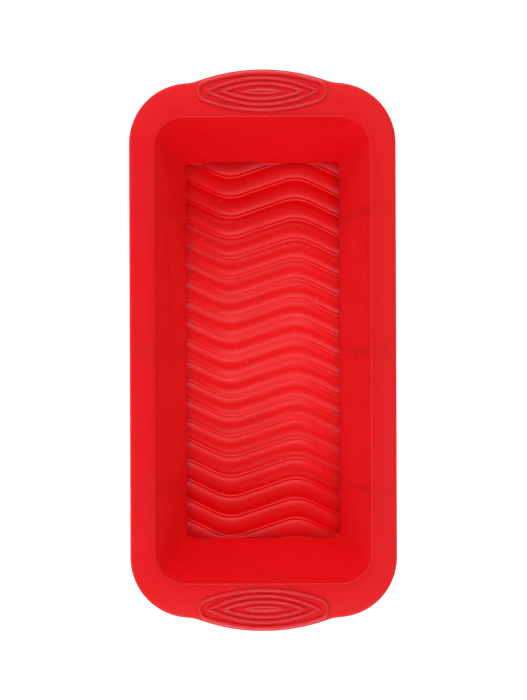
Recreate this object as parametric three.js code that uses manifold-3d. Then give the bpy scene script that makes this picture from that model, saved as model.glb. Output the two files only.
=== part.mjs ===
// Silicone loaf mould: a tapered tub with a wavy ribbed floor, a flat rim, and a ringed grip at each end.
// Millimetres. X runs across the mould, Y along it and Z up; the origin is the middle of its base.

import * as THREE from "three";
import { ParametricGeometry } from "three/addons/geometries/ParametricGeometry.js";
import { mergeVertices } from "three/addons/utils/BufferGeometryUtils.js";
import Module from "manifold-3d";

// ---- driving dimensions ----

const LENGTH = 280; // over both grips
const WIDTH = 133; // over the rim
const HEIGHT = 62.4; // base to the top of the grip rings
const RIM_LENGTH = 266.5; // over the rim's end edges, between the grips
const OPENING = { width: 107, length: 232 }; // at the top of the walls
const FLOOR = { width: 83, length: 204 }; // inside, at the foot of the walls
const RIM_CORNER = 30; // radius of the rim's outer corners
const OPENING_CORNER = 15;

const WALL = 2.4;
const FLOOR_PLATE = 2.2;
const RIM_PLATE = 3;
const RING_RISE = 1.2; // how far the grip rings stand above the rim

const RIM_TOP = HEIGHT - RING_RISE;
const RIM_UNDER = RIM_TOP - RIM_PLATE;
const CORNER_X = OPENING.width / 2 - OPENING_CORNER; // corner arcs stay centred on this line all the way down
const FLOOR_CORNER = FLOOR.width / 2 - CORNER_X;
const CORNER_Y = FLOOR.length / 2 - FLOOR_CORNER; // where the long walls' flat stretch ends

// Ribs: round-backed, parted by narrow valleys, and following one wave from side to side.
const RIB = { pitch: 10.9, valley: 0.6, radius: 10, phase: -4.05, root: 0.6, clearance: 0.3 };
const WAVE = { bend: 18.9, swing: 6.3, outerSlope: -0.485, rounding: 7.2 };
const WAVE_STEPS = 18;

// Underside: a shallow groove behind each rib keeps the floor one thickness; the border stays flat.
const GROOVE = { mouth: 6.6, top: 4, depth: 1.1, border: 5 };

// Grip: a rim bulge with a nest of raised rings. Each ring is two arcs, with rounded or pointed ends.
const GRIP = { radius: 95, arcHalf: 29, bulgeHalf: 38, ringCentre: 128.7, ringWidth: 1.4 };
const RINGS = {
  outer: { radius: 88, halfHeight: 9.4, end: 5 },
  middle: { radius: 60.6, halfHeight: 6.6, end: 0 },
  inner: { radius: 54, halfHeight: 3.85, end: 0 },
};
const LEAF = { radius: 38.3, halfHeight: 1.8 };

// Gussets: thin fins outside the long walls that hold the rim level.
const GUSSET = { pitch: 70.5, thickness: 2.6, reach: 63.5, foot: 8, footReach: 1.2, gap: 0.3 };

const ARC_STEPS = 4; // an arc is drawn with twice as many straight steps
const SILICONE = { color: 0xd8141c, roughness: 0.45, metalness: 0 };
const ENDS = { back: 1, front: -1 };
const SIDES = { left: -1, right: 1 };

// ---- solids ----

const wasm = await Module();
wasm.setup();

function toSolid(geometry) {
  const bare = geometry.clone();
  bare.deleteAttribute("normal");
  bare.deleteAttribute("uv");
  const welded = mergeVertices(bare);
  const triVerts = new Uint32Array(welded.index.array);
  const vertProperties = new Float32Array(welded.attributes.position.array);
  return new wasm.Manifold(new wasm.Mesh({ numProp: 3, vertProperties, triVerts }));
}

function toGeometry(solid) {
  const { vertProperties, triVerts } = solid.getMesh();
  const geometry = new THREE.BufferGeometry();
  geometry.setAttribute("position", new THREE.BufferAttribute(vertProperties, 3));
  geometry.setIndex(new THREE.BufferAttribute(triVerts, 1));
  return geometry;
}

function block(xs, ys, zs) {
  const size = [xs, ys, zs].map(([low, high]) => high - low);
  const middle = [xs, ys, zs].map(([low, high]) => (low + high) / 2);
  return toSolid(new THREE.BoxGeometry(...size).translate(...middle));
}

function slab(shape, bottom, top) {
  const options = { depth: top - bottom, bevelEnabled: false, curveSegments: ARC_STEPS };
  return new THREE.ExtrudeGeometry(shape, options).translate(0, 0, bottom);
}

// ---- outlines ----

function roundedRectangle(halfX, halfY, radius) {
  const shape = new THREE.Shape();
  const corners = [[1, 1], [-1, 1], [-1, -1], [1, -1]];
  corners.forEach(([signX, signY], quarter) => {
    const start = (quarter * Math.PI) / 2;
    const [x, y] = [signX * (halfX - radius), signY * (halfY - radius)];
    shape.absarc(x, y, radius, start, start + Math.PI / 2, false);
  });
  return shape;
}

// Inside of the tub at a height: a share of 0 at the foot of the walls, and 1 at the opening.
function cavityShape(z, outset = 0) {
  const share = (z - FLOOR_PLATE) / (RIM_TOP - FLOOR_PLATE);
  const halfX = THREE.MathUtils.lerp(FLOOR.width, OPENING.width, share) / 2;
  const halfY = THREE.MathUtils.lerp(FLOOR.length, OPENING.length, share) / 2;
  return roundedRectangle(halfX + outset, halfY + outset, halfX - CORNER_X + outset);
}

// Two arcs of one radius, each centred the given offset beyond the middle, joined by end arcs or a point.
function lensOutline(path, radius, offset, end, centreY) {
  const reach = Math.sqrt((radius - end) ** 2 - offset ** 2);
  const meet = Math.atan2(offset, reach);
  path.absarc(0, centreY - offset, radius, meet, Math.PI - meet, false);
  if (end > 0) path.absarc(-reach, centreY, end, Math.PI - meet, Math.PI + meet, false);
  path.absarc(0, centreY + offset, radius, Math.PI + meet, 2 * Math.PI - meet, false);
  if (end > 0) path.absarc(reach, centreY, end, -meet, meet, false);
  return path;
}

function loopAt(shape, z) {
  return shape.getPoints(ARC_STEPS).map(({ x, y }) => new THREE.Vector3(x, y, z));
}

// A closed ring whose cross-section has one corner on each loop, in order.
function ringThrough(loops) {
  const around = loops[0].length;
  const place = (u, v, target) => {
    const loop = loops[Math.round(v * loops.length) % loops.length];
    target.copy(loop[Math.round(u * around) % around]);
  };
  return new ParametricGeometry(place, around, loops.length);
}

// ---- floor ----

// How far a rib's line has moved along Y where it passes x: straight flanks with rounded bends.
function waveAt(x) {
  const turn = WAVE.swing / WAVE.bend - WAVE.outerSlope;
  const bendAt = (from) => {
    const past = x - from;
    if (past <= -WAVE.rounding) return 0;
    return past >= WAVE.rounding ? past : (past + WAVE.rounding) ** 2 / (4 * WAVE.rounding);
  };
  const flank = -WAVE.swing + WAVE.outerSlope * (x + WAVE.bend);
  return flank + turn * (bendAt(-WAVE.bend) - bendAt(WAVE.bend));
}

// A bar of the given cross-section (across, up) that follows the wave from wall to wall.
function wavyBar(section, y) {
  const width = FLOOR.width + 2 * WALL;
  const options = { depth: width, steps: WAVE_STEPS, bevelEnabled: false, curveSegments: 2 };
  const bar = new THREE.ExtrudeGeometry(section, options);
  bar.rotateX(Math.PI / 2).rotateZ(Math.PI / 2).translate(-width / 2, y, 0);
  const position = bar.attributes.position;
  for (let i = 0; i < position.count; i += 1) {
    position.setY(i, position.getY(i) + waveAt(position.getX(i)));
  }
  return toSolid(bar);
}

function ribSection() {
  const half = (RIB.pitch - RIB.valley) / 2;
  const sink = Math.sqrt(RIB.radius ** 2 - half ** 2);
  const lean = Math.atan2(sink, half);
  const section = new THREE.Shape();
  section.moveTo(-half, FLOOR_PLATE - RIB.root);
  section.lineTo(half, FLOOR_PLATE - RIB.root);
  section.absarc(0, FLOOR_PLATE - sink, RIB.radius, lean, Math.PI - lean, false);
  return section;
}

function grooveSection() {
  const section = new THREE.Shape();
  section.moveTo(-GROOVE.mouth / 2, -1);
  section.lineTo(GROOVE.mouth / 2, -1);
  section.lineTo(GROOVE.mouth / 2, 0);
  section.lineTo(GROOVE.top / 2, GROOVE.depth);
  section.lineTo(-GROOVE.top / 2, GROOVE.depth);
  section.lineTo(-GROOVE.mouth / 2, 0);
  return section;
}

function barsAlongFloor(section) {
  const reach = FLOOR.length / 2 + 2 * WAVE.swing;
  const first = Math.ceil((-reach - RIB.phase) / RIB.pitch);
  const last = Math.floor((reach - RIB.phase) / RIB.pitch);
  const bars = [];
  for (let i = first; i <= last; i += 1) bars.push(wavyBar(section, RIB.phase + i * RIB.pitch));
  return bars;
}

function waveFloor() {
  const inside = toSolid(slab(cavityShape(FLOOR_PLATE, -RIB.clearance), 0, 2 * RIB.radius));
  const underside = toSolid(slab(cavityShape(FLOOR_PLATE, WALL - GROOVE.border), -2, GROOVE.depth + 1));
  let floor = toSolid(slab(cavityShape(FLOOR_PLATE, WALL), 0, FLOOR_PLATE));
  for (const rib of barsAlongFloor(ribSection())) floor = floor.add(rib.intersect(inside));
  for (const groove of barsAlongFloor(grooveSection())) {
    floor = floor.subtract(groove.intersect(underside));
  }
  return toGeometry(floor);
}

// ---- walls ----

function tubWall() {
  return toSolid(ringThrough([
    loopAt(cavityShape(FLOOR_PLATE), FLOOR_PLATE),
    loopAt(cavityShape(FLOOR_PLATE, WALL), FLOOR_PLATE),
    loopAt(cavityShape(RIM_UNDER, WALL), RIM_UNDER),
    loopAt(cavityShape(RIM_UNDER), RIM_UNDER),
  ]));
}

// The part of the tub's wall whose X and Y lie in the given ranges.
function wallPart(tub, xs, ys) {
  return toGeometry(tub.intersect(block(xs, ys, [0, HEIGHT])));
}

const beyond = (sign, from, to) => (sign > 0 ? [from, to] : [-to, -from]);

// ---- rim and grips ----

function rimFlange() {
  const outer = roundedRectangle(WIDTH / 2, RIM_LENGTH / 2, RIM_CORNER);
  return ringThrough([
    loopAt(cavityShape(RIM_UNDER), RIM_UNDER),
    loopAt(outer, RIM_UNDER),
    loopAt(outer, RIM_TOP),
    loopAt(cavityShape(RIM_TOP), RIM_TOP),
  ]);
}

// The bulge beyond the rim's end edge: one wide arc that eases into the edge on both sides.
function gripTab(end) {
  const edge = (end * RIM_LENGTH) / 2;
  const arcCentre = end * (LENGTH / 2 - GRIP.radius);
  const arcY = arcCentre + end * Math.sqrt(GRIP.radius ** 2 - GRIP.arcHalf ** 2);
  const span = Math.asin(GRIP.arcHalf / GRIP.radius);
  const slope = GRIP.arcHalf / (end * (arcY - arcCentre));
  const ease = GRIP.arcHalf + (GRIP.bulgeHalf - GRIP.arcHalf) * 0.6;
  const easeY = arcY - end * slope * (ease - GRIP.arcHalf);
  const middle = (end * Math.PI) / 2;
  const shape = new THREE.Shape();
  shape.moveTo(-GRIP.bulgeHalf, edge);
  shape.lineTo(GRIP.bulgeHalf, edge);
  shape.quadraticCurveTo(ease, easeY, GRIP.arcHalf, arcY);
  shape.absarc(0, arcCentre, GRIP.radius, middle - end * span, middle + end * span, end < 0);
  shape.quadraticCurveTo(-ease, easeY, -GRIP.bulgeHalf, edge);
  return slab(shape, RIM_UNDER, RIM_TOP);
}

function gripRing({ radius, halfHeight, end }, centreY) {
  const offset = radius - halfHeight;
  const half = GRIP.ringWidth / 2;
  const shape = lensOutline(new THREE.Shape(), radius + half, offset, end + half, centreY);
  const holeEnd = Math.max(end - half, 0);
  shape.holes.push(lensOutline(new THREE.Path(), radius - half, offset, holeEnd, centreY));
  return slab(shape, RIM_TOP, HEIGHT);
}

function gripLeaf(centreY) {
  const shape = lensOutline(new THREE.Shape(), LEAF.radius, LEAF.radius - LEAF.halfHeight, 0, centreY);
  return slab(shape, RIM_TOP, HEIGHT);
}

// ---- gussets ----

// A fin from the rim's underside down the slope of the wall, seen along Y and given its thickness there.
function gusset(side, y) {
  const wallFace = (z) => {
    const share = (z - FLOOR_PLATE) / (RIM_TOP - FLOOR_PLATE);
    return THREE.MathUtils.lerp(FLOOR.width, OPENING.width, share) / 2 + WALL + GUSSET.gap;
  };
  const shape = new THREE.Shape([
    new THREE.Vector2(side * wallFace(GUSSET.foot), GUSSET.foot),
    new THREE.Vector2(side * (wallFace(GUSSET.foot) + GUSSET.footReach), GUSSET.foot),
    new THREE.Vector2(side * GUSSET.reach, RIM_UNDER),
    new THREE.Vector2(side * wallFace(RIM_UNDER), RIM_UNDER),
  ]);
  const options = { depth: GUSSET.thickness, bevelEnabled: false };
  const fin = new THREE.ExtrudeGeometry(shape, options).rotateX(Math.PI / 2);
  return fin.translate(0, y + GUSSET.thickness / 2, 0);
}

// ---- assembly ----

const mould = new THREE.Group();

function addPart(name, geometry) {
  const mesh = new THREE.Mesh(geometry, new THREE.MeshStandardMaterial(SILICONE));
  mesh.name = name;
  mould.add(mesh);
}

addPart("wave_floor", waveFloor());

const tub = tubWall();
for (const [side, signX] of Object.entries(SIDES)) {
  const flank = beyond(signX, CORNER_X, WIDTH / 2);
  addPart(`side_wall_${side}`, wallPart(tub, flank, [-CORNER_Y, CORNER_Y]));
  for (const [end, signY] of Object.entries(ENDS)) {
    addPart(`corner_wall_${end}_${side}`, wallPart(tub, flank, beyond(signY, CORNER_Y, LENGTH / 2)));
  }
}
for (const [end, signY] of Object.entries(ENDS)) {
  addPart(`end_wall_${end}`, wallPart(tub, [-CORNER_X, CORNER_X], beyond(signY, CORNER_Y, LENGTH / 2)));
}

addPart("rim_flange", rimFlange());
for (const [end, signY] of Object.entries(ENDS)) {
  const centreY = signY * GRIP.ringCentre;
  addPart(`grip_tab_${end}`, gripTab(signY));
  for (const [ring, size] of Object.entries(RINGS)) {
    addPart(`grip_${ring}_ring_${end}`, gripRing(size, centreY));
  }
  addPart(`grip_leaf_${end}`, gripLeaf(centreY));
}

const stations = { back: GUSSET.pitch, middle: 0, front: -GUSSET.pitch };
for (const [side, signX] of Object.entries(SIDES)) {
  for (const [station, y] of Object.entries(stations)) {
    addPart(`rim_gusset_${station}_${side}`, gusset(signX, y));
  }
}

export default mould;
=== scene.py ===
# Silicone loaf mould: the moulding's real skin, with its wavy floor, rolled rim, grip rings and gussets.
# Shapes are worked out in millimetres and turned into metres when a piece is finished.

import math

import bmesh
import bpy
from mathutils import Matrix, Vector


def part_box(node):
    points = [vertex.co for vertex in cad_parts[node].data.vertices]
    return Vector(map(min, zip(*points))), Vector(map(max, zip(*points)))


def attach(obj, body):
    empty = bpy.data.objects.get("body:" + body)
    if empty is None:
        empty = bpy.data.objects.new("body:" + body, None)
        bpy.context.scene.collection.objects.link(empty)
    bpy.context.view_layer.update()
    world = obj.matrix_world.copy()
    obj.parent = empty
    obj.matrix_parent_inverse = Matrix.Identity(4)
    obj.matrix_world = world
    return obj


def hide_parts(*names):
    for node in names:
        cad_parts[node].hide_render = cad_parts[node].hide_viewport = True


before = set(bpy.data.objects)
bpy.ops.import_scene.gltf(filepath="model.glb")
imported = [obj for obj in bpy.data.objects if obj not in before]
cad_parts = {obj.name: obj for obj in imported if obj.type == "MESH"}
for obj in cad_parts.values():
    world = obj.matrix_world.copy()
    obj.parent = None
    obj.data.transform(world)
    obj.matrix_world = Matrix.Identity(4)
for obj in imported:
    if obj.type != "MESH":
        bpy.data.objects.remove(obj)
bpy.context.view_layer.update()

MM = 0.001
BODY = "root"


def box_mm(node):
    """A CAD node's lowest and highest corners in millimetres."""
    low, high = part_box(node)
    return low / MM, high / MM


# ---- sizes taken from the frame ----

rim_low, rim_high = box_mm("rim_flange")
side_low, side_high = box_mm("side_wall_right")
end_low, end_high = box_mm("end_wall_back")
_, floor_high = box_mm("wave_floor")
_, tab_high = box_mm("grip_tab_back")
ring_low, ring_high = box_mm("grip_outer_ring_back")
gusset_low, gusset_high = box_mm("rim_gusset_back_right")

RIM_TOP, RIM_UNDER = rim_high.z, rim_low.z
RIM_X, RIM_Y = rim_high.x, rim_high.y
PLATE = side_low.z  # top of the floor between the ribs
WALL = floor_high.x - side_low.x
FOOT_X, FOOT_Y = side_low.x, end_low.y
LEAN_X = (side_high.x - WALL - FOOT_X) / (RIM_UNDER - PLATE)  # outward, for each step up
LEAN_Y = (end_high.y - WALL - FOOT_Y) / (RIM_UNDER - PLATE)
CORNER_X, CORNER_Y = end_high.x, side_high.y  # the corner cones stay centred on these lines
FOOT_CORNER = FOOT_X - CORNER_X
RIB_RISE = floor_high.z - PLATE
RING_RISE = ring_high.z - RIM_TOP
RING_CENTRE = (ring_low.y + ring_high.y) / 2
TAB_REACH = tab_high.y
GUSSET_Y = (gusset_low.y + gusset_high.y) / 2
GUSSET_THICK = gusset_high.y - gusset_low.y

# ---- sizes of the finer shapes ----

RIM_CORNER = 30
TAB_RADIUS = 95  # the bulge's one wide arc
TAB_HALF = 45  # the bulge has run out into the rim's edge by here
TAB_EASE = 1.4  # how softly it does so
RIM_DROOP = 0.7  # the rim's outer edge hangs this much below the opening's edge
OPENING_ROUND = 0.8
RIM_ROUND = 1.4
UNDER_FILLET = 2.5
FOOT_FILLET = 1.4
FOOT_LAP, FOOT_LAP_DEPTH = 2, 1.2  # the walls' foot runs in under the floor's ribs, and down
BASE_ROUND = 2.6
BASE_BORDER = 5  # flat strip round the underside
LEAST_CORNER = 0.8
CORNER_STEPS, END_STEPS, SIDE_STEPS = 16, 56, 48
FILLET_STEPS, BASE_STEPS, EDGE_STEPS, WALL_STEPS = 5, 6, 10, 8
RIM_SHARES = (0.08, 0.2, 0.35, 0.5, 0.65, 0.8, 0.92)  # loops between the opening and the rim's edge
UNDER_SHARES = (0.3, 0.6, 0.85)  # loops between the rim's edge and the wall, underneath

RIB_PITCH, RIB_PHASE, RIB_VALLEY, RIB_RADIUS = 10.9, -4.05, 1.7, 10
VALLEY_BEAD = 0.35  # a thin bead runs along each valley
RIB_ROWS = (0, 1.2, 2.4, 3.4, 4.1, 4.6, 4.8, 5.0, 5.2, 5.35, 5.45)  # crest to valley's middle
RIB_COLUMNS = 72
WAVE_BEND, WAVE_SWING, WAVE_OUTER_SLOPE, WAVE_ROUNDING = 18.9, 6.3, -0.485, 7.2
GROOVE_HALF, GROOVE_DEPTH, GROOVE_FADE = 3.3, 1.3, 3
FLOOR_LIFT = 0.05  # keeps the floor's skins off the walls' skins

RINGS = {  # arc radius, half height, radius of the round ends
    "outer": (88, 9.4, 5),
    "middle": (60.6, 6.6, 0),
    "inner": (54, 3.85, 0),
}
LEAF_RADIUS, LEAF_HALF, LEAF_ROUND = 38.3, 1.8, 1.5
BEAD_HALF = 0.9  # a ring is a half-round bead, this wide either side of its crest line
BEAD_ROOT = 0.9  # how deep a bead is set into the rim
EDGE_LAND = 0.1  # a bead stops this short of the tab's edge
ARC_STEPS, TIP_STEPS, BEAD_STEPS = 36, 10, 7
PULL_STEPS = 20  # how finely a foot is drawn back from the tab's edge
GUSSET_ROUND = 0.8
GUSSET_BURY = 0.8  # set into the wall and the rim, because it is one moulding
PAINTED_SHADE_CORE, PAINTED_SHADE_EDGE = 0.3, 3.2  # painted shade of a gusset's shadow: its darkest part and its faint edge, each side
PAINTED_SHADE_RUN, PAINTED_SHADE_SHARE = 9, 0.17  # the painted shade grows from nothing to this share as the wall leans out this far
WELD = 0.002  # points nearer than this become one


# ---- colour and material ----

def linear(hex_colour):
    """An sRGB hex colour as linear RGBA."""
    channels = [int(hex_colour[i:i + 2], 16) / 255 for i in (1, 3, 5)]
    return [c / 12.92 if c <= 0.04045 else ((c + 0.055) / 1.055) ** 2.4 for c in channels] + [1]


def add_node(tree, kind, links=None, **settings):
    """One node with its settings; links gives each socket a value or another node's output."""
    made = tree.nodes.new(kind)
    for name, value in settings.items():
        setattr(made, name, value)
    for socket, value in (links or {}).items():
        if isinstance(value, bpy.types.NodeSocket):
            tree.links.new(value, made.inputs[socket])
        else:
            made.inputs[socket].default_value = value
    return made


def size_to_scale(millimetres):
    """A texture's scale for features of this size."""
    return 1 / (millimetres * MM)


def moulded_silicone(name, wander, film):
    """Platinum-cured silicone, compression moulded in a satin tool: saturated, soft-edged and a little
    see-through where thin, with a faint grain, cloudy handling marks and the lint it always picks up.
    Wander is how many millimetres red light strays inside before it comes out, and film is how much of
    the skin handling has left a slight shine on."""
    material = bpy.data.materials.new(name)
    material.use_nodes = True
    tree = material.node_tree
    tree.nodes.clear()
    place = add_node(tree, "ShaderNodeTexCoord").outputs["Object"]

    clouds = add_node(tree, "ShaderNodeTexNoise", {
        "Vector": place, "Scale": size_to_scale(38), "Detail": 3.0, "Roughness": 0.55})
    pigment = add_node(tree, "ShaderNodeMix", {
        "Factor": clouds.outputs["Fac"], "A": linear("#F4121D"), "B": linear("#FA1520")},
        data_type="RGBA")

    # Painted shade: a faint dark streak in the colour on the right-hand wall, where a gusset behind the
    # wall would stop the light coming through it.
    spot = add_node(tree, "ShaderNodeSeparateXYZ", {"Vector": place})
    turn = add_node(tree, "ShaderNodeMath", {
        0: spot.outputs["Y"], 1: GUSSET_Y * MM / 2, 2: -GUSSET_Y * MM / 2}, operation="WRAP")
    beside = add_node(tree, "ShaderNodeMath", {0: turn.outputs[0]}, operation="ABSOLUTE")
    painted_streak_shade = add_node(tree, "ShaderNodeMapRange", {
        "Value": beside.outputs[0], "From Min": PAINTED_SHADE_CORE * MM, "From Max": PAINTED_SHADE_EDGE * MM,
        "To Min": 1.0, "To Max": 0.0}, interpolation_type="SMOOTHSTEP")
    up_wall = add_node(tree, "ShaderNodeMapRange", {
        "Value": spot.outputs["X"], "From Min": FOOT_X * MM, "From Max": (FOOT_X + PAINTED_SHADE_RUN) * MM,
        "To Min": 0.0, "To Max": PAINTED_SHADE_SHARE})
    below_rim = add_node(tree, "ShaderNodeMath", {
        0: spot.outputs["Z"], 1: (RIM_TOP - 2 * OPENING_ROUND) * MM}, operation="LESS_THAN")
    on_wall = add_node(tree, "ShaderNodeMath", {
        0: up_wall.outputs[0], 1: below_rim.outputs[0]}, operation="MULTIPLY")
    painted_shade_mask = add_node(tree, "ShaderNodeMath", {
        0: painted_streak_shade.outputs[0], 1: on_wall.outputs[0]}, operation="MULTIPLY")
    # the dark red #8E0810 is the colour of the painted shade
    with_painted_shade = add_node(tree, "ShaderNodeMix", {
        "Factor": painted_shade_mask.outputs[0], "A": pigment.outputs["Result"], "B": linear("#8E0810")},
        data_type="RGBA")

    # Lint and dust: pale specks about half a millimetre across, one every few centimetres.
    cells = add_node(tree, "ShaderNodeTexVoronoi", {
        "Vector": place, "Scale": size_to_scale(9), "Randomness": 1.0})
    speck = add_node(tree, "ShaderNodeMapRange", {
        "Value": cells.outputs["Distance"], "From Min": 0.026, "From Max": 0.05,
        "To Min": 0.55, "To Max": 0.0})
    dusted = add_node(tree, "ShaderNodeMix", {
        "Factor": speck.outputs[0], "A": with_painted_shade.outputs["Result"], "B": linear("#FF9C9C")},
        data_type="RGBA")

    handling = add_node(tree, "ShaderNodeTexNoise", {
        "Vector": place, "Scale": size_to_scale(14), "Detail": 5.0, "Roughness": 0.6})
    gloss = add_node(tree, "ShaderNodeMapRange", {
        "Value": handling.outputs["Fac"], "From Min": 0.3, "From Max": 0.7,
        "To Min": 0.33, "To Max": 0.45})

    # The tool's satin grain is a few hundredths of a millimetre; drawn coarser so that it still shows.
    grain = add_node(tree, "ShaderNodeTexNoise", {
        "Vector": place, "Scale": size_to_scale(0.9), "Detail": 2.0, "Roughness": 0.6})
    slack = add_node(tree, "ShaderNodeTexNoise", {
        "Vector": place, "Scale": size_to_scale(26), "Detail": 1.0, "Roughness": 0.4})
    soft = add_node(tree, "ShaderNodeBump", {
        "Height": slack.outputs["Fac"], "Strength": 0.5, "Distance": 0.5 * MM})
    satin = add_node(tree, "ShaderNodeBump", {
        "Height": grain.outputs["Fac"], "Strength": 0.35, "Distance": 0.03 * MM,
        "Normal": soft.outputs["Normal"]})

    skin = add_node(tree, "ShaderNodeBsdfPrincipled", {
        "Base Color": dusted.outputs["Result"], "Roughness": gloss.outputs[0], "IOR": 1.41,
        "Sheen Weight": 0.05, "Sheen Roughness": 0.3, "Coat Weight": film, "Coat Roughness": 0.3,
        "Subsurface Weight": 0.6, "Subsurface Radius": (1.0, 0.06, 0.04),
        "Subsurface Scale": wander * MM, "Normal": satin.outputs["Normal"]})
    add_node(tree, "ShaderNodeOutputMaterial", {"Surface": skin.outputs["BSDF"]})
    return material


# ---- making and finishing pieces ----

def only(items, kind):
    return [item for item in items if isinstance(item, kind)]


def skin_through(bm, loops, closed):
    """Pulls a ring of edges from loop to loop, and back to the first if the skin closes on itself.
    Returns the first ring of edges and the last."""
    verts = [bm.verts.new(point) for point in loops[0]]
    first = ring = [bm.edges.new((verts[i - 1], verts[i])) for i in range(len(verts))]
    for loop in loops[1:] + loops[:1] * closed:
        grown = bmesh.ops.extrude_edge_only(bm, edges=ring)["geom"]
        ring = only(grown, bmesh.types.BMEdge)
        pulled = {}
        for vert in only(grown, bmesh.types.BMVert):
            rail = next(edge for edge in vert.link_edges if edge.other_vert(vert) in verts)
            pulled[rail.other_vert(vert)] = vert
        verts = [pulled[vert] for vert in verts]
        for vert, point in zip(verts, loop):
            vert.co = point
    return first, ring


def make_piece(bm, name, nodes, material):
    """Turns a finished bmesh into a named piece that stands for the given CAD nodes."""
    bmesh.ops.remove_doubles(bm, verts=bm.verts, dist=WELD)
    bmesh.ops.dissolve_degenerate(bm, edges=bm.edges, dist=WELD / 2)
    bmesh.ops.recalc_face_normals(bm, faces=bm.faces)
    bmesh.ops.scale(bm, vec=(MM, MM, MM), verts=bm.verts)
    mesh = bpy.data.meshes.new(name)
    bm.to_mesh(mesh)
    bm.free()
    mesh.shade_smooth()
    mesh.materials.append(material)
    piece = bpy.data.objects.new(name, mesh)
    bpy.context.scene.collection.objects.link(piece)
    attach(piece, BODY)
    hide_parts(*nodes)
    return piece


def mix(a, b, share):
    return a + (b - a) * share


# ---- outlines ----

def rounded_outline(half_x, half_y, radius):
    """A rounded rectangle with the same number of points at every size, so that loops match up."""
    points = []
    for quarter, (sign_x, sign_y) in enumerate(((1, 1), (-1, 1), (-1, -1), (1, -1))):
        centre = Vector((sign_x * (half_x - radius), sign_y * (half_y - radius)))
        for step in range(CORNER_STEPS + 1):
            angle = (quarter + step / CORNER_STEPS) * math.pi / 2
            points.append(centre + radius * Vector((math.cos(angle), math.sin(angle))))
        along_end = quarter % 2 == 0
        steps = END_STEPS if along_end else SIDE_STEPS
        run = 2 * (half_x - radius) if along_end else 2 * (half_y - radius)
        way = Vector((-sign_x, 0)) if along_end else Vector((0, -sign_y))
        start = points[-1]
        points += [start + way * run * step / steps for step in range(1, steps)]
    return points


def tab_edge(x, rim_edge):
    """How far out the rim's end edge is where it passes x, bulge included."""
    arc = TAB_REACH - TAB_RADIUS + math.sqrt(TAB_RADIUS ** 2 - x ** 2)
    near = max(TAB_EASE - abs(arc - rim_edge), 0) / TAB_EASE
    return max(arc, rim_edge) + near ** 2 * TAB_EASE / 4


def rim_outline(inset):
    """The rim's outer edge, moved in by the inset."""
    points = rounded_outline(RIM_X - inset, RIM_Y - inset, RIM_CORNER - inset)
    for point in points:
        if abs(point.x) < TAB_HALF and abs(point.y) > RIM_Y - RIM_CORNER:
            point.y = math.copysign(tab_edge(point.x, abs(point.y) + inset) - inset, point.y)
    return points


def cavity_loop(z, inset):
    """The inside of the tub at a height, moved in by the inset, or out if that is negative."""
    half_x = FOOT_X + LEAN_X * (z - PLATE)
    half_y = FOOT_Y + LEAN_Y * (z - PLATE)
    radius = max(half_x - CORNER_X - inset, LEAST_CORNER)
    outline = rounded_outline(half_x - inset, half_y - inset, radius)
    return [point.to_3d() + Vector((0, 0, z)) for point in outline]


def quarter_turns(steps, start=0.0, end=90.0):
    """Sine and cosine at even steps through a turn."""
    angles = [math.radians(mix(start, end, step / steps)) for step in range(steps + 1)]
    return [(math.sin(angle), math.cos(angle)) for angle in angles]


# ---- the tub and its rim ----

def rim_level(share):
    """Height of the rim's top, from 0 at the opening's edge to 1 at the outer edge."""
    return RIM_TOP - RIM_DROOP * share ** 2


def tub_and_rim(material):
    loops = [cavity_loop(PLATE - FOOT_LAP_DEPTH, FOOT_LAP), cavity_loop(PLATE, FOOT_LAP)]
    for sine, cosine in quarter_turns(FILLET_STEPS):
        loops.append(cavity_loop(PLATE + FOOT_FILLET * (1 - cosine), FOOT_FILLET * (1 - sine)))
    wall_top = RIM_TOP - OPENING_ROUND
    for step in range(1, WALL_STEPS):
        loops.append(cavity_loop(mix(PLATE + FOOT_FILLET, wall_top, step / WALL_STEPS), 0))
    for sine, cosine in quarter_turns(FILLET_STEPS):
        loops.append(cavity_loop(wall_top + OPENING_ROUND * sine, -OPENING_ROUND * (1 - cosine)))

    opening = loops[-1]
    outer = rim_outline(RIM_ROUND)
    for share in RIM_SHARES:
        loops.append([
            Vector((mix(a.x, b.x, share), mix(a.y, b.y, share), rim_level(share)))
            for a, b in zip(opening, outer)])
    edge_top = rim_level(1)
    half_edge = (edge_top - RIM_UNDER) / 2
    for sine, cosine in quarter_turns(EDGE_STEPS, 0, 180):
        level = Vector((0, 0, RIM_UNDER + half_edge * (1 + cosine)))
        loops.append([point.to_3d() + level for point in rim_outline(RIM_ROUND * (1 - sine))])
    under_wall = cavity_loop(RIM_UNDER, -WALL - UNDER_FILLET)
    under_edge = loops[-1]
    for share in UNDER_SHARES:
        loops.append([
            Vector((mix(a.x, b.x, share), mix(a.y, b.y, share), RIM_UNDER))
            for a, b in zip(under_edge, under_wall)])
    for sine, cosine in quarter_turns(FILLET_STEPS):
        loops.append(cavity_loop(
            RIM_UNDER - UNDER_FILLET * (1 - cosine), -WALL - UNDER_FILLET * (1 - sine)))

    foot = RIM_UNDER - UNDER_FILLET
    for step in range(1, WALL_STEPS):
        loops.append(cavity_loop(mix(foot, BASE_ROUND, step / WALL_STEPS), -WALL))
    for sine, cosine in quarter_turns(BASE_STEPS):
        loops.append(cavity_loop(BASE_ROUND * (1 - sine), BASE_ROUND * (1 - cosine) - WALL))
    loops.append(cavity_loop(0, BASE_BORDER - WALL))

    bm = bmesh.new()
    skin_through(bm, loops, closed=True)
    walls = [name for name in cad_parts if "wall" in name]
    tabs = ["grip_tab_back", "grip_tab_front"]
    return make_piece(bm, "tub_and_rim", walls + tabs + ["rim_flange"], material)


# ---- the wavy floor ----

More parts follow.
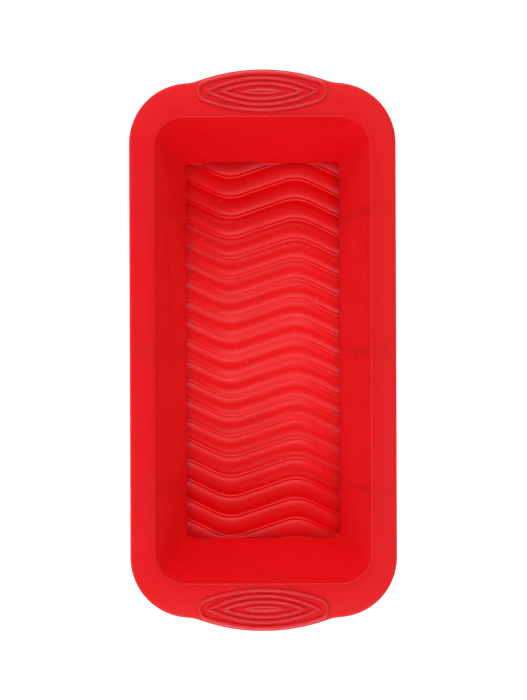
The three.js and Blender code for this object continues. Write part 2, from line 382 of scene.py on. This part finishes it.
def wave_at(x):
    """How far a rib's line has moved along Y where it passes x: straight flanks with rounded bends."""
    def bend_at(start):
        past = x - start
        if abs(past) >= WAVE_ROUNDING:
            return max(past, 0)
        return (past + WAVE_ROUNDING) ** 2 / (4 * WAVE_ROUNDING)
    turn = WAVE_SWING / WAVE_BEND - WAVE_OUTER_SLOPE
    flank = -WAVE_SWING + WAVE_OUTER_SLOPE * (x + WAVE_BEND)
    return flank + turn * (bend_at(-WAVE_BEND) - bend_at(WAVE_BEND))


def rib_height(across):
    """Height of the floor's skin at a distance from the nearest rib's crest line."""
    half = (RIB_PITCH - RIB_VALLEY) / 2
    sink = math.sqrt(RIB_RADIUS ** 2 - half ** 2)
    if across >= half:
        return VALLEY_BEAD * (1 - math.cos(2 * math.pi * (across - half) / RIB_VALLEY)) / 2
    return (math.sqrt(RIB_RADIUS ** 2 - across ** 2) - sink) * RIB_RISE / (RIB_RADIUS - sink)


def groove_height(across, x):
    """Height of the groove behind a rib, fading out before the flat border."""
    shape = max(1 - (across / GROOVE_HALF) ** 2, 0) ** 0.75  # between a half round and a parabola
    reach = min(max((FOOT_X + WALL - BASE_BORDER - abs(x)) / GROOVE_FADE, 0), 1)
    return GROOVE_DEPTH * shape * math.sin(reach * math.pi / 2)


def wavy_floor(material):
    rib_rows = [-row for row in RIB_ROWS[-2:0:-1]] + list(RIB_ROWS)
    limit = FOOT_X + WALL / 4  # the ribs run into the wall
    cut = FOOT_Y + WALL / 4
    spread = cut + 2 * WAVE_SWING
    ribs = range(math.ceil(-spread / RIB_PITCH), math.ceil(spread / RIB_PITCH) + 1)
    rows = [(RIB_PHASE + rib * RIB_PITCH + row, abs(row)) for rib in ribs for row in rib_rows]

    bm = bmesh.new()
    bmesh.ops.create_grid(bm, x_segments=RIB_COLUMNS, y_segments=len(rows) - 1, size=1)
    top = bmesh.ops.extrude_face_region(bm, geom=bm.faces[:], use_keep_orig=True)
    upper = set(only(top["geom"], bmesh.types.BMVert))
    for vert in bm.verts:
        along, side = vert.co.x, vert.co.y
        x = limit * (1.5 * along - 0.5 * along ** 3)  # closer together towards the walls
        y, across = rows[round((side + 1) / 2 * (len(rows) - 1))]
        if vert in upper:
            z = PLATE + FLOOR_LIFT + rib_height(across)
        else:
            z = FLOOR_LIFT + groove_height(across, x)
        vert.co = (x, y + wave_at(x), z)
    corner = Vector((CORNER_X, CORNER_Y)).dot(Vector((1, 1)).normalized()) + FOOT_CORNER
    sides = [(Vector((0, end, 0)), cut) for end in (-1, 1)]
    sides += [(Vector((side, end, 0)).normalized(), corner) for side in (-1, 1) for end in (-1, 1)]
    for outwards, reach in sides:
        cut_off = bmesh.ops.bisect_plane(
            bm, geom=bm.verts[:] + bm.edges[:] + bm.faces[:], dist=WELD / 2,
            plane_co=outwards * reach, plane_no=outwards, clear_outer=True)
        open_edges = only(cut_off["geom_cut"], bmesh.types.BMEdge)
        bmesh.ops.triangle_fill(bm, edges=open_edges, use_beauty=True, use_dissolve=False)
    return make_piece(bm, "wavy_floor", ["wave_floor"], material)


# ---- grip rings ----

def lens_points(radius, half_height, end, grow):
    """Two arcs that meet in a point, or in round ends, grown outwards by the given amount."""
    offset = radius - half_height
    arc, round_end = radius + grow, max(end + grow, 0)
    reach = math.sqrt((arc - round_end) ** 2 - offset ** 2)
    meet = math.atan2(offset, reach)
    points = []
    for sign, turn in ((1, 0), (-1, math.pi)):
        for step in range(ARC_STEPS + 1):
            angle = turn + mix(meet, math.pi - meet, step / ARC_STEPS)
            points.append(Vector((arc * math.cos(angle), arc * math.sin(angle) - sign * offset)))
        for step in range(1, TIP_STEPS):
            angle = turn + mix(math.pi - meet, math.pi + meet, step / TIP_STEPS)
            x = round_end * math.cos(angle) - sign * reach
            points.append(Vector((x, round_end * math.sin(angle))))
    return points


def kept_on_tab(crest, foot):
    """The foot of a bead, drawn back towards its crest where it would pass the tab's edge."""
    for step in range(PULL_STEPS, 0, -1):
        point = crest.lerp(foot, step / PULL_STEPS)
        if RING_CENTRE + point.y < tab_edge(point.x, RIM_Y) - EDGE_LAND:
            break
    return point


def on_grip(points, rise, sign):
    """Lays points on a grip, at a rise above the rim's own surface."""
    laid = []
    for point in points:
        y = RING_CENTRE + point.y
        laid.append(Vector((point.x, sign * y, RIM_TOP + rim_sag(point.x, y) + rise)))
    return laid


def rim_sag(x, y):
    """How far the rim's top has dropped below the opening's edge at a place on a grip."""
    opening_y = FOOT_Y + LEAN_Y * (RIM_TOP - PLATE)
    share = (y - opening_y) / (tab_edge(x, RIM_Y) - opening_y)
    return rim_level(min(max(share, 0), 1)) - RIM_TOP


def between(first, second, share):
    return [a.lerp(b, share) for a, b in zip(first, second)]


def bead_side(foot, crest, sign):
    """One side of a bead's round back, from its root in the rim, past its foot, up to its crest."""
    loops = [on_grip(foot, -BEAD_ROOT, sign)]
    for sine, cosine in quarter_turns(BEAD_STEPS):
        loops.append(on_grip(between(foot, crest, 1 - cosine), RING_RISE * sine, sign))
    return loops


def grip_ring(name, node, size, sign, material):
    """A half-round bead along a pointed or round-ended oval; the sign says which grip it is on."""
    crest = lens_points(*size, 0)
    outer = [kept_on_tab(top, foot) for top, foot in zip(crest, lens_points(*size, BEAD_HALF))]
    inner_side = bead_side(lens_points(*size, -BEAD_HALF), crest, sign)
    outer_side = bead_side(outer, crest, sign)
    bm = bmesh.new()
    skin_through(bm, inner_side + outer_side[-2::-1], closed=True)
    return make_piece(bm, name, [node], material)


def grip_leaf(name, node, sign, material):
    """The solid leaf inside the rings, its back rounded up to a narrow crown."""
    foot = lens_points(LEAF_RADIUS, LEAF_HALF, 0, 0)
    crown = lens_points(LEAF_RADIUS, LEAF_HALF, 0, -LEAF_ROUND)
    bm = bmesh.new()
    rings = skin_through(bm, bead_side(foot, crown, sign), closed=False)
    for ring in rings:
        bmesh.ops.edgeloop_fill(bm, edges=ring)
    return make_piece(bm, name, [node], material)


# ---- gussets ----

def gusset(name, node, material):
    """A thin fin from the rim's underside down the wall, its free edges rounded."""
    low, high = box_mm(node)
    side = 1 if low.x > 0 else -1
    reach = max(abs(low.x), abs(high.x))
    foot = FOOT_X + WALL + LEAN_X * (low.z - PLATE) - GUSSET_BURY
    head = FOOT_X + WALL + LEAN_X * (RIM_UNDER - PLATE) - GUSSET_BURY
    corners = (
        (foot, low.z), (foot + 2 * GUSSET_BURY, low.z), (reach, RIM_UNDER),
        (reach, RIM_UNDER + GUSSET_BURY), (head, RIM_UNDER + GUSSET_BURY))
    bm = bmesh.new()
    face = bm.faces.new([bm.verts.new((side * x, low.y, z)) for x, z in corners])
    outer_edges = [
        edge for edge in face.edges if max(abs(vert.co.x) for vert in edge.verts) > head]
    grown = bmesh.ops.extrude_face_region(bm, geom=[face], use_keep_orig=True)["geom"]
    bmesh.ops.translate(bm, vec=(0, high.y - low.y, 0), verts=only(grown, bmesh.types.BMVert))
    free = [
        edge for edge in bm.edges
        if edge in outer_edges or max(abs(vert.co.x) for vert in edge.verts) > head
        and edge.calc_length() > GUSSET_THICK + 1]
    bmesh.ops.bevel(
        bm, geom=free, offset=GUSSET_ROUND, segments=4, profile=0.5, affect="EDGES", material=-1)
    return make_piece(bm, name, [node], material)


# ---- camera, light and table ----

def aim(thing, target):
    """Turns a lamp to face a point."""
    thing.rotation_euler = (Vector(target) - thing.location).to_track_quat("-Z", "Y").to_euler()


def set_camera():
    """Straight above the mould, its long side upright in the picture."""
    distance = 593  # above the rim
    frame_height = 347.8  # what the picture takes in at the rim's level
    off_x, off_y, roll = 0.25, 0.1, -0.2  # a hair off centre and off square
    camera_data = bpy.data.cameras.new("camera")
    camera_data.sensor_width = 36
    camera_data.lens = camera_data.sensor_width * distance / frame_height
    camera = bpy.data.objects.new("camera", camera_data)
    camera.location = Vector((off_x, off_y, RIM_TOP + distance)) * MM
    camera.rotation_euler = (0, 0, math.radians(roll))
    bpy.context.scene.collection.objects.link(camera)
    bpy.context.scene.camera = camera


def add_softbox(name, azimuth, elevation, distance, size, level):
    """A softbox aimed at the tub. Its level is the light on a flat surface, and 1 makes paper white."""
    turn, rise = math.radians(azimuth), math.radians(elevation)
    lamp = bpy.data.lights.new(name, "AREA")
    lamp.shape = "RECTANGLE"
    lamp.size, lamp.size_y = size
    lamp.energy = level * (math.pi * distance) ** 2 / math.sin(rise)
    softbox = bpy.data.objects.new(name, lamp)
    softbox.location = distance * Vector((
        math.sin(turn) * math.cos(rise), math.cos(turn) * math.cos(rise), math.sin(rise)))
    aim(softbox, (0, 0, RIM_TOP * MM / 2))
    bpy.context.scene.collection.objects.link(softbox)


def light_table():
    """Backlit white acrylic, as small goods are shown on: even white, with hardly a shadow."""
    half_side, gap = 3, 0.1 * MM  # in metres; the gap keeps it off the mould's base
    material = bpy.data.materials.new("lit_white_acrylic")
    material.use_nodes = True
    tree = material.node_tree
    tree.nodes.clear()
    surface = add_node(tree, "ShaderNodeBsdfPrincipled", {
        "Base Color": linear("#F4F4F4"), "Roughness": 0.6,
        "Emission Color": linear("#FFFFFF"), "Emission Strength": 0.72})
    add_node(tree, "ShaderNodeOutputMaterial", {"Surface": surface.outputs["BSDF"]})
    bm = bmesh.new()
    bmesh.ops.create_grid(bm, x_segments=2, y_segments=2, size=half_side)
    bmesh.ops.translate(bm, vec=(0, 0, -gap), verts=bm.verts)
    mesh = bpy.data.meshes.new("table")
    bm.to_mesh(mesh)
    bm.free()
    mesh.materials.append(material)
    table = bpy.data.objects.new("table", mesh)
    bpy.context.scene.collection.objects.link(table)


def set_light():
    world = bpy.data.worlds.new("studio")
    world.use_nodes = True
    tree = world.node_tree
    tree.nodes.clear()
    way = add_node(tree, "ShaderNodeTexCoord").outputs["Generated"]
    rise = add_node(tree, "ShaderNodeSeparateXYZ", {"Vector": way}).outputs["Z"]
    # Pale walls all round at the mould's level, and a dim ceiling.
    walls = add_node(tree, "ShaderNodeMapRange", {
        "Value": rise, "From Min": 0.1, "From Max": 0.45, "To Min": 0.55, "To Max": 0.1},
        interpolation_type="SMOOTHSTEP")
    backdrop = add_node(tree, "ShaderNodeBackground", {
        "Color": linear("#FFFFFF"), "Strength": walls.outputs[0]})
    add_node(tree, "ShaderNodeOutputWorld", {"Surface": backdrop.outputs[0]})
    bpy.context.scene.world = world
    # Azimuth from the back and elevation in degrees, distance and size in metres, then level.
    add_softbox("left", -90, 36, 1.5, (1.6, 0.7), 0.165)
    add_softbox("right", 90, 58, 1.0, (0.8, 0.6), 0.075)
    add_softbox("back", 0, 40, 1.0, (0.9, 0.45), 0.245)
    add_softbox("front", 180, 40, 1.0, (0.9, 0.45), 0.245)
    bpy.context.scene.view_settings.view_transform = "Standard"


# ---- the scene ----

set_camera()
set_light()
light_table()

silicone = moulded_silicone("moulded_red_silicone", wander=4.4, film=0)
# Grip beads are too slight for light to stray far in, and are handled the most.
bead_silicone = moulded_silicone("moulded_red_beads", wander=0.6, film=0.6)
tub_and_rim(silicone)
wavy_floor(silicone)
for end_name, end_sign in (("back", 1), ("front", -1)):
    for ring_name, ring_size in RINGS.items():
        ring_node = f"grip_{ring_name}_ring_{end_name}"
        grip_ring(f"{ring_name}_ring_{end_name}", ring_node, ring_size, end_sign, bead_silicone)
    grip_leaf(f"leaf_{end_name}", f"grip_leaf_{end_name}", end_sign, bead_silicone)
for side_name in ("left", "right"):
    for place_name in ("back", "middle", "front"):
        gusset(f"gusset_{place_name}_{side_name}", f"rim_gusset_{place_name}_{side_name}", silicone)
